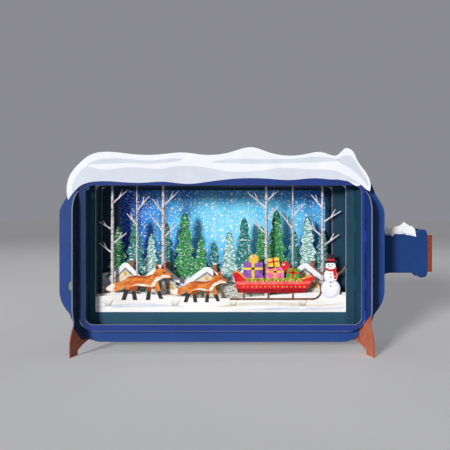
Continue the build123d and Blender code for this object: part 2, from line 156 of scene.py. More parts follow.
card = {
    "core": paint(176, 176, 186),  # cut edges of the board
    "roughness": 0.55,
    "specular": 0.18,
    "mottle": (9, 0.06),  # width of a patch in mm, and how far its tone strays
    "grain": (0.3, 0.05),
    "fibre": (0.35, 0.012),  # width and depth in mm
    "relief": 0.5,
    "faceFrom": 0.6,  # a face whose normal points this much across the sheet is printed
    "faceBlur": 0.1,
}


def startMaterial(name, roughness=card["roughness"], specular=card["specular"]):
    material = bpy.data.materials.new(name)
    material.use_nodes = True
    shader = material.node_tree.nodes["Principled BSDF"]
    shader.inputs["Roughness"].default_value = roughness
    shader.inputs["Specular IOR Level"].default_value = specular
    return material, material.node_tree


def finishMaterial(material, colour):
    tree = material.node_tree
    shader = tree.nodes["Principled BSDF"]
    strength = calc(tree, "MULTIPLY", unevenness(tree, *card["mottle"]), unevenness(tree, *card["grain"]))
    scaled = addNode(tree, "ShaderNodeVectorMath", {0: colour, "Scale": strength}, operation="SCALE")
    tree.links.new(scaled.outputs[0], shader.inputs["Base Color"])
    width, depth = card["fibre"]
    bump = addNode(
        tree, "ShaderNodeBump",
        {"Height": noise(tree, width, 5), "Strength": card["relief"], "Distance": depth * mm},
    )
    tree.links.new(bump.outputs[0], shader.inputs["Normal"])
    return material


def boardEdge(tree):
    return card["core"]


def sheetMaterial(name, front, back, across="y", edge=boardEdge):
    # front, back and edge take the tree and give the colour there
    material, tree = startMaterial(name)
    normal = axes(tree, addNode(tree, "ShaderNodeNewGeometry").outputs["Normal"])
    facing = normal[1] if across == "y" else normal[0]
    printed = step(tree, calc(tree, "ABSOLUTE", facing), card["faceFrom"], card["faceBlur"])
    behind = step(tree, facing, 0.0, card["faceBlur"])
    sides = blendColour(tree, behind, front(tree), back(tree))
    finishMaterial(material, blendColour(tree, printed, edge(tree), sides))
    return material


def plain(colour):  # a printed colour that the press laid down a little unevenly
    return lambda tree: tint(tree, colour)


def tint(tree, colour, darker=0.86, size=14):
    dark = tuple(value * darker for value in colour[:3]) + (1,)
    return ramp(tree, noise(tree, size), [(0.3, dark), (0.7, colour)])


def setMaterial(node, material):
    sheet = sheets[node]
    sheet.data.materials.clear()
    sheet.data.materials.append(material)


blue = {"body": paint(36, 72, 138), "rear": paint(26, 62, 122), "back": paint(36, 66, 138)}
teal = {"front": paint(38, 82, 104), "right": paint(32, 70, 90), "deep": paint(28, 64, 86)}
whiteBack = plain(paint(224, 224, 222))
rim = {"width": 0.3, "colour": paint(120, 122, 145)}  # painted highlight: a pale line along a cut edge, where light catches the board's edge; width in mm

# Windows of the sheets, in mm from the body's middle and over the table: left, right, bottom, top, radius
windows = {
    "front_frame": (-102.8, 105, 22.5, 127.3, 6),
    "figures_frame": (-98.2, 96.1, 29.3, 127.5, 4),
    "birch_frame": (-98.3, 98.3, 31.3, 127.5, 4),
    "cottage_frame": (-95.2, 87.4, 33.3, 126.5, 4),
    "fir_frame": (-96.3, 88.9, 35.3, 126.5, 4),
}

# Front frame

frontFrame = {
    "print": paint(34, 60, 134),
    "leftBarShade": paint(30, 52, 100),  # painted shade: duller on the left bar, where the left wall's shadow falls
    "outline": (-107.5, 107.5, 17.3, 140, 11),  # outer edge without its tabs, given as the windows are
    "tab": 0.2,  # past the outline by this much is a tab, mm
    "bars": 100,  # the side bars lie past this place on either side, mm from the body's middle
    "barBlur": 5,
    "rimTop": 26,  # the painted edge highlight shows up to here, mm over the table
    "rimBlur": 1,
    "rimRight": 0.35,  # and this share of it on the right bar
    "litHookEnd": paint(128, 138, 134),  # pale board on the left hook's end, past this place, painted where light catches it; the right hook's end stays blue, in shade
    "hookPlace": -110,
    "hookBlur": 0.2,
}


def frontBlue(tree):
    position = spot(tree)
    bars, blur = frontFrame["bars"] * mm, frontFrame["rimBlur"] * mm
    # painted highlight along the cut edges of the window and the outline: low down, faint on the right bar
    low = opposite(tree, step(tree, position[2], frontFrame["rimTop"] * mm, blur))
    edge = roundedWindow(tree, *windows["front_frame"])
    inner = opposite(tree, step(tree, edge, rim["width"] * mm))
    right = step(tree, position[0], bodyX + bars, blur)
    faint = calc(tree, "MULTIPLY", right, frontFrame["rimRight"])
    inner = calc(tree, "MULTIPLY", inner, calc(tree, "MAXIMUM", low, faint))
    beyond = roundedWindow(tree, *frontFrame["outline"])
    onTab = step(tree, beyond, frontFrame["tab"] * mm)
    outer = calc(tree, "SUBTRACT", step(tree, beyond, -rim["width"] * mm), onTab)
    rimHighlight = calc(tree, "MAXIMUM", inner, calc(tree, "MULTIPLY", outer, low))
    # painted shade: left of this place the left bar gets the duller print
    past = step(tree, position[0], bodyX - bars, frontFrame["barBlur"] * mm)
    shadedPrint = blendColour(tree, past, tint(tree, frontFrame["leftBarShade"]), tint(tree, frontFrame["print"]))
    printed = blendColour(tree, rimHighlight, shadedPrint, rim["colour"])
    # painted highlight: the end of the left hook is pale board
    hookX = bodyX + frontFrame["hookPlace"] * mm
    offLitHookEnd = step(tree, position[0], hookX, frontFrame["hookBlur"] * mm)
    return blendColour(tree, offLitHookEnd, frontFrame["litHookEnd"], printed)


# Side walls

walls = {
    "print": paint(29, 55, 127),
    "leftInsideShade": paint(30, 50, 84),  # painted shade: inside of the left wall, in front of the frame, darker than the right wall's
    "lining": (7.9, 44.9, 20),  # teal inside, between these depths and over this height, mm
    "liningBlur": 0.5,
    "foldLine": paint(84, 98, 166),
    "crack": (1.5, 0.9, 0.2),  # width of a flake on the fold, how far it reaches, and its blur, mm
    "foot": paint(199, 114, 84),
    "footWash": (0.75, 5),  # its darkest share, and the width of a patch in mm
    # each wall's foot border: height at the front edge, mm, and fall per mm of depth, down to the arch's line
    "footBorders": {"left": (22.4, 1.03), "right": (31, 0.83)},
    "archBorder": (10.6, 0.085),
    "ragged": (3, 0.6),  # width of a notch in the border and how far it strays, mm
    "borderBlur": 0.3,
    "edge": paint(128, 134, 136),
    "footEdge": paint(150, 82, 62),
    # painted shade in the slots' cut faces
    "slot": paint(16, 24, 64),
    "slots": (1.9, 9, 103.5),  # they lie further than this from the edges, and between these heights, mm
    "slotBlur": 0.2,
}


def fromEdges(tree):  # distances from the crease, and from the nearer of the front and back edges
    along = spot(tree)[1]
    fromCrease = calc(tree, "ABSOLUTE", calc(tree, "SUBTRACT", along, creaseY))
    return fromCrease, calc(tree, "SUBTRACT", creaseY - wallFrontY, fromCrease)


def aboveFoot(tree, side):  # 1 over the foot's ragged border, which falls from the edges to the arch
    depth = fromEdges(tree)[1]
    lines = (walls["footBorders"][side], walls["archBorder"])
    steep, flat = [calc(tree, "MULTIPLY_ADD", depth, -fall, start * mm) for start, fall in lines]
    notch, stray = walls["ragged"]
    wander = calc(tree, "MULTIPLY_ADD", noise(tree, notch), 2 * stray * mm, -stray * mm)
    border = calc(tree, "ADD", calc(tree, "MAXIMUM", steep, flat), wander)
    height = spot(tree)[2]
    return step(tree, calc(tree, "SUBTRACT", height, border), 0.0, walls["borderBlur"] * mm)


def wallPrint(side, inner):  # blue, with the feet in terracotta
    def printed(tree):
        position = spot(tree)
        fromCrease = fromEdges(tree)[0]
        # painted shade: the inside of the left wall is printed darker
        wall = tint(tree, walls["leftInsideShade"] if inner and side == "left" else walls["print"])
        if inner:  # teal between the front frame and the sheet with the sky's window
            start, end, low = walls["lining"]
            behind = step(tree, position[1], wallFrontY + start * mm)
            past = step(tree, position[1], wallFrontY + end * mm)
            between = calc(tree, "SUBTRACT", behind, past)
            high = step(tree, position[2], low * mm, walls["liningBlur"] * mm)
            lining = tint(tree, teal["right" if side == "right" else "front"])
            wall = blendColour(tree, calc(tree, "MULTIPLY", between, high), wall, lining)
        flake, reach, blur = walls["crack"]  # the fold has broken the print a little
        worn = calc(tree, "MULTIPLY", noise(tree, flake, 4), reach * mm)
        crack = step(tree, calc(tree, "SUBTRACT", fromCrease, worn), 0.0, blur * mm)
        foot = tint(tree, walls["foot"], *walls["footWash"])
        colour = blendColour(tree, aboveFoot(tree, side), foot, wall)
        return blendColour(tree, crack, walls["foldLine"], colour)

    return printed


def wallEdge(side):  # pale along the wall's outline, brown on the feet, and painted shade in the slots
    def cut(tree):
        margin, bottom, top = [value * mm for value in walls["slots"]]
        blur = walls["slotBlur"] * mm
        height = spot(tree)[2]
        inside = step(tree, fromEdges(tree)[1], margin, blur)
        band = calc(tree, "SUBTRACT", step(tree, height, bottom, blur), step(tree, height, top, blur))
        slots = calc(tree, "MULTIPLY", inside, band)
        outline = blendColour(tree, aboveFoot(tree, side), walls["footEdge"], walls["edge"])
        return blendColour(tree, slots, outline, walls["slot"])

    return cut


# Rear sheets

inside = {  # what is seen of them between the walls, mm
    "reach": 106.5,  # to either side of the body's middle
    "top": 123,  # and further over this height
    "further": 5.5,
    "topBlur": 1,
    "blur": 0.3,
}


def insideWalls(tree):  # 1 between the side walls and just over their tops, 0 on the wings and the neck
    position = spot(tree)
    out = calc(tree, "ABSOLUTE", calc(tree, "SUBTRACT", position[0], bodyX))
    overTop = step(tree, position[2], inside["top"] * mm, inside["topBlur"] * mm)
    reach = calc(tree, "MULTIPLY_ADD", overTop, inside["further"] * mm, inside["reach"] * mm)
    return opposite(tree, step(tree, calc(tree, "SUBTRACT", out, reach), 0.0, inside["blur"] * mm))


def midFront(tree):
    return blendColour(tree, insideWalls(tree), tint(tree, blue["rear"]), tint(tree, teal["deep"]))


sky = {
    "centre": (14, 92),  # brightest place, mm from the body's middle and over the table
    "reach": (120, 75),
    "stops": [
        (0.0, paint(150, 232, 252)), (0.35, paint(96, 200, 244)), (0.6, paint(56, 150, 232)),
        (0.85, paint(48, 104, 220)), (1.0, paint(44, 70, 190)),
    ],
    "clouds": (22, 0.4),  # width in mm, and how far they stray along the stops
    # spacing and largest radius in mm, and the share of the cells that hold a star
    "stars": ((1.9, 0.42, 0.7), (3.4, 0.7, 0.6), (7, 1.1, 0.45)),
    "starColour": paint(250, 254, 255),
    "starScatter": 0.85,
    "starBlur": 0.08,
}


def starField(tree, spacing, radius, keep):
    position = spot(tree)
    flat = addNode(tree, "ShaderNodeCombineXYZ", {0: position[0], 1: position[2]}).outputs[0]
    cells = addNode(
        tree, "ShaderNodeTexVoronoi",
        {"Vector": flat, "Scale": 1 / (spacing * mm), "Randomness": sky["starScatter"]},
        voronoi_dimensions="2D",
    )
    lot = axes(tree, cells.outputs["Color"])[0]
    size = calc(tree, "MULTIPLY", lot, radius / spacing)
    dot = step(tree, calc(tree, "SUBTRACT", size, cells.outputs["Distance"]), 0.0, sky["starBlur"])
    return calc(tree, "MULTIPLY", dot, step(tree, lot, 1 - keep, 0.01))


def nightSky(tree):
    centre = (bodyX + sky["centre"][0] * mm, 0, sky["centre"][1] * mm)
    shrink = (1 / (sky["reach"][0] * mm), 0, 1 / (sky["reach"][1] * mm))
    offset = vectorCalc(tree, "SUBTRACT", places(tree), centre)[0]
    scaled = vectorCalc(tree, "MULTIPLY", offset, shrink)[0]
    distance = vectorCalc(tree, "LENGTH", scaled)[1]
    width, stray = sky["clouds"]
    clouds = calc(tree, "MULTIPLY_ADD", noise(tree, width, 5, roughness=0.6), 2 * stray, -stray)
    colour = ramp(tree, calc(tree, "ADD", distance, clouds), sky["stops"])
    for spacing, radius, keep in sky["stars"]:
        colour = blendColour(tree, starField(tree, spacing, radius, keep), colour, sky["starColour"])
    return blendColour(tree, insideWalls(tree), tint(tree, blue["rear"]), colour)


# Picture sheets: the frame's bars in one print, and the picture inside the window's edges

picture = {  # mm
    "corner": 0.05,  # the picture's own corners are square
    "margin": 0.03,  # it ends this far past the window's edge
    "marginBlur": 0.05,
    "rimFrom": 12,  # the painted edge highlight shows from here up, over the window's lower edge
    "rimBlur": 0.2,
    "darkBlur": 1,
    "barBlur": 4,
    "snowTop": (44.5, 1),  # height of the snow under the birches over the table, and its blur
}


def tealBars(tree):  # a little darker on the right bar
    bar = bodyX + windows["figures_frame"][1] * mm
    past = step(tree, spot(tree)[0], bar, picture["barBlur"] * mm)
    return blendColour(tree, past, tint(tree, teal["front"]), tint(tree, teal["right"]))


def pictureFront(node, barColour, drawing):
    left, right, bottom, top, radius = windows[node]

    def front(tree):
        edge = roundedWindow(tree, left, right, bottom, top, radius)
        square = roundedWindow(tree, left, right, bottom, top, picture["corner"])
        outside = step(tree, square, picture["margin"] * mm, picture["marginBlur"] * mm)
        height = spot(tree)[2]
        # painted highlight along the window's cut edge
        high = step(tree, height, (bottom + picture["rimFrom"]) * mm, picture["rimBlur"] * mm)
        cut = calc(tree, "MULTIPLY", outside, high)
        rimHighlight = calc(tree, "SUBTRACT", cut, step(tree, edge, rim["width"] * mm))
        if node != "figures_frame":  # the left edges of the sheets behind it lie in shade, so the painted highlight is left off there
            lit = step(tree, spot(tree)[0], bodyX, picture["darkBlur"] * mm)
            rimHighlight = calc(tree, "MULTIPLY", rimHighlight, lit)
        bars = blendColour(tree, rimHighlight, barColour(tree), rim["colour"])
        return blendColour(tree, outside, drawing(tree), bars)

    return front


def snowPrint(tree):
    drifts = noise(tree, 16, 4, (0.5, 1, 1.6))
    return ramp(tree, drifts, [(0.3, paint(236, 234, 232)), (0.55, paint(252, 251, 248))])


def barkPrint(tree):  # pale bark, over snow at the foot
    bark = ramp(
        tree, noise(tree, 3, 5, (1, 1, 0.5), 0.6),
        [(0.3, paint(150, 142, 150)), (0.45, paint(206, 198, 202)), (0.62, paint(236, 230, 232))],
    )
    top, blur = [value * mm for value in picture["snowTop"]]
    return blendColour(tree, step(tree, spot(tree)[2], top, blur), snowPrint(tree), bark)


def needlePrint(tree):
    return ramp(
        tree, noise(tree, 1.4, 5, (1, 1, 0.6), 0.7),
        [(0.3, paint(6, 44, 48)), (0.5, paint(12, 72, 66)), (0.68, paint(34, 108, 92))],
    )


def hedgePrint(tree):  # bushes with snow on them
    return ramp(
        tree, noise(tree, 2.2, 5, (1, 1, 1.6), 0.65),
        [
            (0.34, paint(98, 96, 84)), (0.46, paint(164, 162, 148)), (0.56, paint(226, 226, 218)),
            (0.7, paint(246, 246, 242)),
        ],
    )


# Snow on the cap and on the neck

cap = {  # mm from the body's middle and over the table
    "light": paint(242, 246, 251),
    "shade": paint(217, 224, 235),
    "evenness": 0.97,
    "hem": (134, 0.6),  # shaded up to this height, and how softly it ends
    "middle": -6,
    "half": (102, 3),  # and this far to either side of its middle
    "shadows": (
        (
            (-112.4, 122.5), (-112, 128), (-110, 133.5), (-105.6, 138.6), (-101.5, 141.5), (-96.5, 140.6),
            (-87.6, 138.9), (-67.7, 140.9), (-47.8, 139.5), (-29.9, 141.9), (-11.9, 140.5), (6, 137.5),
            (25.9, 137.9), (43.8, 140.3), (65.7, 139.3), (83.6, 138.5), (95.5, 133.5), (104.5, 127.5),
            (95.5, 130.1), (72.6, 133.3), (50.7, 132), (34.8, 132.9), (10, 133), (-13.9, 130.2),
            (-25.9, 129.1), (-42.8, 130.7), (-61.7, 129.9), (-93.5, 131), (-105.5, 127.7),
        ),
        (
            (-101.5, 142.9), (-91.5, 146.8), (-75.6, 147.4), (-55.7, 145.9), (-37.8, 147.4),
            (-29.9, 146.3), (-49.8, 143.5), (-71.6, 143.9), (-91.5, 143.3),
        ),
        (
            (-8, 144.5), (10, 147.2), (29.9, 146.8), (51.7, 147.2), (73.6, 148.8), (87.6, 146.3),
            (73.6, 144.7), (47.8, 143.9), (19.9, 143.5),
        ),
        (
            (86.5, 146.2), (91, 149.3), (96.5, 149.6), (100.6, 144.8), (105, 137.5), (109.3, 130.4),
            (109.6, 126.4), (106, 130.6), (101, 136.2), (95.6, 140.6), (91, 142.9),
        ),
    ),
}
neck = {
    "snow": paint(254, 254, 255),
    "shadow": (
        (133.6, 87.4), (136.2, 88.6), (140.6, 89.6), (145.2, 91.2), (149.6, 89.4), (154, 88.4),
        (156, 86.8), (149.8, 88.2), (146.4, 89), (140, 88.8),
    ),
}


def capFront(tree):  # shaded along the hem, as the patches over it are
    position = spot(tree)
    hem, hemBlur = cap["hem"]
    half, halfBlur = cap["half"]
    low = opposite(tree, step(tree, position[2], hem * mm, hemBlur * mm))
    out = calc(tree, "ABSOLUTE", calc(tree, "SUBTRACT", position[0], bodyX + cap["middle"] * mm))
    share = calc(tree, "MULTIPLY", low, opposite(tree, step(tree, out, half * mm, halfBlur * mm)))
    light, shade = [tint(tree, cap[tone], cap["evenness"]) for tone in ("light", "shade")]
    return blendColour(tree, share, light, shade)


setMaterial("front_frame", sheetMaterial("frameBlue", frontBlue, plain(blue["back"])))
setMaterial("bottle_front", sheetMaterial("bodyBlue", plain(blue["body"]), plain(blue["back"])))
leftSides = (wallPrint("left", False), wallPrint("left", True))
setMaterial("side_wall_left", sheetMaterial("leftWall", *leftSides, "x", wallEdge("left")))
rightSides = (wallPrint("right", True), wallPrint("right", False))
setMaterial("side_wall_right", sheetMaterial("rightWall", *rightSides, "x", wallEdge("right")))
setMaterial("bottle_mid", sheetMaterial("midBlue", midFront, plain(blue["rear"])))
setMaterial("bottle_back", sheetMaterial("nightSky", nightSky, plain(blue["rear"])))
for node, name, bars, drawing in (
    ("figures_frame", "figuresTeal", tealBars, snowPrint),
    ("birch_frame", "birchTeal", tealBars, barkPrint),
    ("cottage_frame", "cottageTeal", plain(teal["deep"]), hedgePrint),
    ("fir_frame", "firTeal", plain(teal["deep"]), needlePrint),
):
    setMaterial(node, sheetMaterial(name, pictureFront(node, bars, drawing), whiteBack))
setMaterial("snow_cap", sheetMaterial("capSnow", capFront, whiteBack))
setMaterial("neck_snow", sheetMaterial("neckSnow", plain(neck["snow"]), whiteBack))


# Cork

cork = {
    "roughness": 0.6,
    "speckle": 0.9,  # mm
    "stops": [
        (0.36, paint(70, 32, 24)), (0.48, paint(126, 56, 36)), (0.6, paint(160, 76, 46)),
        (0.74, paint(186, 110, 78)),
    ],
}
corkMaterial, corkTree = startMaterial("corkPrint", cork["roughness"])
corkColour = ramp(corkTree, noise(corkTree, cork["speckle"], 4, roughness=0.7), cork["stops"])
setMaterial("cork", finishMaterial(corkMaterial, corkColour))
print("sheets printed")


# Inks of the picture: two tones that wander like watercolour

inkTones = {  # dark and light, and where it differs the width of a patch in mm and its stretch
    "snow": ((240, 243, 248), (253, 253, 253), 8),
    "snowShade": ((208, 214, 228), (226, 230, 238), 10),
    "capShade": ((211, 218, 229), (217, 224, 235), 14),
    "creamShade": ((222, 214, 200), (240, 234, 222), 8),
    "foxRed": ((196, 88, 30), (240, 150, 66), 3, (0.6, 1, 1)),
    "foxShade": ((150, 62, 26), (190, 90, 36), 2),
    "foxWhite": ((232, 218, 200), (252, 246, 236), 2),
    "dark": ((40, 30, 34), (70, 56, 58), 2),
    "red": ((206, 20, 32), (234, 52, 52), 5),
    "redShade": ((140, 10, 24), (178, 20, 34), 4),
    "redLight": ((238, 84, 80), (250, 130, 120), 4),
    "gold": ((226, 166, 44), (252, 214, 98), 2),
    "purple": ((118, 62, 150), (168, 108, 196), 3),
    "pink": ((222, 84, 140), (246, 146, 184), 3),
    "yellow": ((232, 190, 40), (250, 226, 96), 3),
    "leaf": ((52, 128, 48), (150, 190, 62), 2),
    "wood": ((96, 62, 44), (150, 104, 72), 2, (1, 1, 0.4)),
    "straw": ((150, 116, 70), (206, 176, 120), 2),
    "bark": ((116, 106, 116), (168, 158, 166), 2, (1, 1, 0.4)),
    "barkDark": ((48, 40, 48), (84, 74, 82), 1.5),
    "wallCream": ((212, 200, 172), (240, 230, 206), 4),
    "wallGrey": ((176, 172, 158), (220, 214, 198), 3),
    "brick": ((132, 74, 56), (180, 112, 84), 1.5, (1, 1, 2)),
    "amber": ((236, 164, 56), (255, 222, 130), 2),
}
needleTones = {  # dark, middle and light, and the level of the noise over which there is snow
    "firTeal": ((8, 66, 72), (22, 112, 108), (96, 178, 166), 0.6),
    "firGreen": ((12, 74, 44), (36, 132, 74), (122, 190, 108), 0.61),
    "firPale": ((40, 112, 104), (110, 176, 166), (190, 222, 216), 0.54),
}


def startInk(name):
    return startMaterial("ink" + name[0].upper() + name[1:])


def inkMaterial(name, dark, light, size=3, stretch=(1, 1, 1)):
    material, tree = startInk(name)
    tones = [(0.34, paint(*dark)), (0.66, paint(*light))]
    return finishMaterial(material, ramp(tree, noise(tree, size, 4, stretch), tones))


def needleMaterial(name, dark, middle, light, snow):
    material, tree = startInk(name)
    tones = [(0.32, paint(*dark)), (0.5, paint(*middle)), (0.66, paint(*light))]
    needles = ramp(tree, noise(tree, 1.3, 5, (1, 1, 0.6), 0.7), tones)
    flecks = step(tree, noise(tree, 1.9, 4, (0.7, 1, 2.0), 0.6), snow, 0.05)
    return finishMaterial(material, blendColour(tree, flecks, needles, paint(240, 248, 248)))


inks = {name: inkMaterial(name, *tones) for name, tones in inkTones.items()}
inks.update({name: needleMaterial(name, *tones) for name, tones in needleTones.items()})
print("inks mixed:", len(inks))


# Printed shapes: flat patches in mm from the body's middle and over the table, a hair in front of their sheet

film = {"layer": 0.02, "reach": 0.3}  # mm from one printed layer to the next, and into the sheet
patches = []


def alongCurve(before, start, end, after, share):
    straight = 2 * start + (end - before) * share
    bent = (2 * before - 5 * start + 4 * end - after) * share ** 2
    return (straight + bent + (3 * start - before - 3 * end + after) * share ** 3) / 2


def softLoop(points, steps=5):  # smooth closed line through the points
    knots = [Vector(point) for point in points]
    count = len(knots)
    line = []
    for i in range(count):
        near = [knots[(i + k) % count] for k in (-1, 0, 1, 2)]
        line += [alongCurve(*near, k / steps) for k in range(steps)]
    return line


def softLine(points, steps=5):  # smooth open line through the points
    knots = [Vector(point) for point in points]
    knots = [2 * knots[0] - knots[1], *knots, 2 * knots[-1] - knots[-2]]
    line = []
    for i in range(1, len(knots) - 2):
        line += [alongCurve(*knots[i - 1:i + 3], k / steps) for k in range(steps)]
    return line + [knots[-2]]


def turned(x, z, dx, dz, turn):  # a point dx and dz from the middle of a shape that is turned, in degrees
    tilt = math.radians(turn)
    cosine, sine = math.cos(tilt), math.sin(tilt)
    return (x + dx * cosine - dz * sine, z + dx * sine + dz * cosine)


def oval(x, z, acrossRadius, upRadius, turn=0, corners=18):
    angles = [2 * math.pi * k / corners for k in range(corners)]
    return [turned(x, z, acrossRadius * math.cos(a), upRadius * math.sin(a), turn) for a in angles]


def block(x, z, width, height, turn=0):
    corners = ((-1, -1), (1, -1), (1, 1), (-1, 1))
    return [turned(x, z, across * width / 2, up * height / 2, turn) for across, up in corners]


def stroke(points, width):  # line of the same width all along
    knots = [Vector(point) for point in points]
    left, right = [], []
    for i, knot in enumerate(knots):
        along = (knots[min(i + 1, len(knots) - 1)] - knots[max(i - 1, 0)]).normalized()
        side = Vector((-along.y, along.x)) * width / 2
        left.append(knot + side)
        right.append(knot - side)
    return left + right[::-1]


def ink(colour, layer, points, x=0, foot=0, scale=1):  # a motif's own points, drawn at its place
    bpy.ops.mesh.primitive_circle_add(vertices=len(points), fill_type="NGON", calc_uvs=False)
    patch = bpy.context.object
    for vertex, (dx, dz) in zip(patch.data.vertices, points):
        vertex.co = (bodyX + (x + scale * dx) * mm, -layer * film["layer"] * mm, (foot + scale * dz) * mm)
    patch.data.materials.append(inks[colour])
    patches.append(patch)


def printOn(node, name):  # joins the patches and sinks them into the sheet's front
    bpy.ops.object.select_all(action="DESELECT")
    for patch in patches:
        patch.select_set(True)
    bpy.context.view_layer.objects.active = patches[0]
    bpy.ops.object.join()
    piece = bpy.context.object
    piece.name = name
    bpy.ops.object.mode_set(mode="EDIT")
    bpy.ops.mesh.select_all(action="SELECT")
    bpy.ops.transform.translate(value=(0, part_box(node)[0].y, 0))
    bpy.ops.mesh.extrude_region_move(TRANSFORM_OT_translate={"value": (0, film["reach"] * mm, 0)})
    bpy.ops.mesh.select_all(action="SELECT")
    bpy.ops.mesh.normals_make_consistent(inside=False)
    bpy.ops.object.mode_set(mode="OBJECT")
    bpy.ops.object.select_all(action="DESELECT")
    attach(piece, "root")
    print(name, "printed with", len(patches), "patches")
    patches.clear()


def land(window, heights, colour, layer):  # ground across a window, up to its line of heights
    left, right, bottom = window[:3]
    gap = (right - left) / (len(heights) - 1)
    crest = softLine([(left + i * gap, bottom + height) for i, height in enumerate(heights)], 4)
    ink(colour, layer, [*crest, (right, bottom), (left, bottom)])


# Firs

firs = {
    "stand": 51.3,
    "half": 102.96,  # the places are shares of it, with heights and widths in mm
    "places": (
        (-0.81, 44, 21), (-0.677, 52, 22), (-0.551, 38, 17), (-0.435, 47, 21), (-0.29, 55, 24),
        (-0.164, 36, 17), (-0.058, 30, 15), (0.058, 40, 18), (0.174, 51, 22), (0.309, 44, 20),
        (0.425, 57, 24), (0.561, 41, 19), (0.667, 52, 22), (0.783, 42, 19),
    ),
    "colours": ("firGreen", "firTeal", "firPale", "firTeal", "firGreen"),
    "tiers": 5,
    "narrowing": 0.82,
    "skirt": 0.06,  # share of the height under the lowest tier
    "shoulder": (0.5, 0.75),  # shares of a tier's half width and of its height
    "lowest": 0.9,  # the lowest tier's teeth start at this share of its half width
    "overlap": 0.25,
    "tooth": 0.035,  # share of the height
    "teeth": ((0.7, 0.5), (0.5, -1), (0.25, 0.3), (0, -1.2)),  # shares of the inner half and of a tooth
    "ground": (22, 25, 27, 25, 23, 24, 27, 28, 26, 24, 25, 27),
}


def firTier(height, width, tier):  # half outline of a tier: its shoulder, its teeth and the corner between
    tiers, narrowing, skirt = firs["tiers"], firs["narrowing"], firs["skirt"]

    def level(count):
        return height * (skirt + (1 - skirt) * count / tiers)

    outer = width / 2 * (1 - narrowing * tier / tiers)
    across, up = firs["shoulder"]
    tip = (outer * across, level(tier + up)) if tier < tiers - 1 else (0, height)
    if tier == 0:
        inner, under = outer * firs["lowest"], level(tier)
    else:
        inner = width / 4 * (1 - narrowing * (tier - 1) / tiers)
        under = level(tier - firs["overlap"])
    tooth = height * firs["tooth"]
    teeth = [(inner * share, under + tooth * drop) for share, drop in firs["teeth"]]
    return [(outer, level(tier)), tip], teeth, (inner, under)


land(windows["fir_frame"], firs["ground"], "snowShade", 1)
for number, (share, height, width) in enumerate(firs["places"]):
    place = share * firs["half"]
    colour = firs["colours"][number % len(firs["colours"])]
    for tier in range(firs["tiers"]):
        shoulder, teeth, corner = firTier(height, width, tier)
        right = [*reversed(shoulder), corner, *teeth]
        left = [(-dx, dz) for dx, dz in reversed(right[1:-1] if shoulder[-1][0] == 0 else right[:-1])]
        ink(colour, 2 + tier + number % 2, [*right, *left], place, firs["stand"])
printOn("fir_frame", "firPrint")


# Cottages

cottages = {
    "foot": 39.3,
    "half": 101.26,
    # share of the half, width, heights of wall and roof in mm, colour of the wall
    "places": (
        (-0.757, 20, 14, 13, "wallCream"), (-0.482, 24, 12, 13.5, "wallGrey"),
        (-0.118, 26, 11, 12.5, "wallCream"), (0.216, 20, 13, 12, "wallGrey"),
        (0.65, 25, 13, 13.5, "wallCream"),
    ),
    "eaves": 0.14,  # shares of the width: overhang, and half the ridge's snow
    "ridge": 0.08,
    "snow": 3.38,  # depth on the roofs
    "board": (1.6, 2),  # dark board under the snow, at the wall and at the ridge
    "panes": (-0.3, 0, 0.3),  # shares of the width
    "pane": (3.4, 4),
    "paneDrop": 4.4,  # middle of the panes under the wall's top
    "casing": 1,
    "bar": 0.35,
    "sill": (4.6, 1.4, 0.8),  # drop, how much wider than the pane, and thickness
    "gable": (0.32, 1.5),  # round window: share of the roof's height, and radius
    # shares of the width and of the roof's height, and the rest in mm
    "chimney": {"place": 0.24, "middle": 0.8, "height": 0.9, "top": 1.25, "width": 3, "snow": 1.0},
}


def drawCottage(x, width, wall, roof, colour):
    def draw(inkName, layer, points):
        ink(inkName, layer, points, x, cottages["foot"])

    side, top = width / 2, wall + roof
    eaves, ridge = side + width * cottages["eaves"], width * cottages["ridge"]
    under = top - cottages["snow"]
    low, high = cottages["board"]
    draw(colour, 2, [(-side, 0), (side, 0), (side, wall + 1), (0, top - 1), (-side, wall + 1)])
    for turn in (-1, 1):
        slope = [(0, top), (ridge, top), (eaves, wall + 2), (eaves, wall - 1), (side, wall), (0, under)]
        draw("snow", 4, [(turn * dx, dz) for dx, dz in slope])
        board = [(0, under), (side, wall), (side - low, wall), (0, under - high)]
        draw("bark", 3, [(turn * dx, dz) for dx, dz in board])
    paneWidth, paneHeight = cottages["pane"]
    casing, bar = cottages["casing"], cottages["bar"]
    sillDrop, sillMore, sillDepth = cottages["sill"]
    for share in cottages["panes"]:
        middle = (share * width, wall - cottages["paneDrop"])
        draw("wood", 3, block(*middle, paneWidth + casing, paneHeight + casing))
        draw("amber", 4, block(*middle, paneWidth, paneHeight))
        draw("wood", 5, block(*middle, bar, paneHeight))
        draw("wood", 5, block(*middle, paneWidth, bar))
        sillHeight = wall - sillDrop - paneHeight / 2
        draw("snow", 5, block(share * width, sillHeight, paneWidth + sillMore, sillDepth))
    share, radius = cottages["gable"]
    draw("amber", 4, oval(0, wall + roof * share, radius, radius))
    draw("wood", 5, block(0, wall + roof * share, bar, 2 * radius))
    chimney = cottages["chimney"]
    place, across, snow = width * chimney["place"], chimney["width"], chimney["snow"]
    draw("brick", 3, block(place, wall + roof * chimney["middle"], across, roof * chimney["height"]))
    draw("snow", 6, block(place, wall + roof * chimney["top"] - snow / 2, across, snow))


for share, width, wall, roof, colour in cottages["places"]:
    drawCottage(share * cottages["half"], width, wall, roof, colour)
printOn("cottage_frame", "cottagePrint")


# Birches

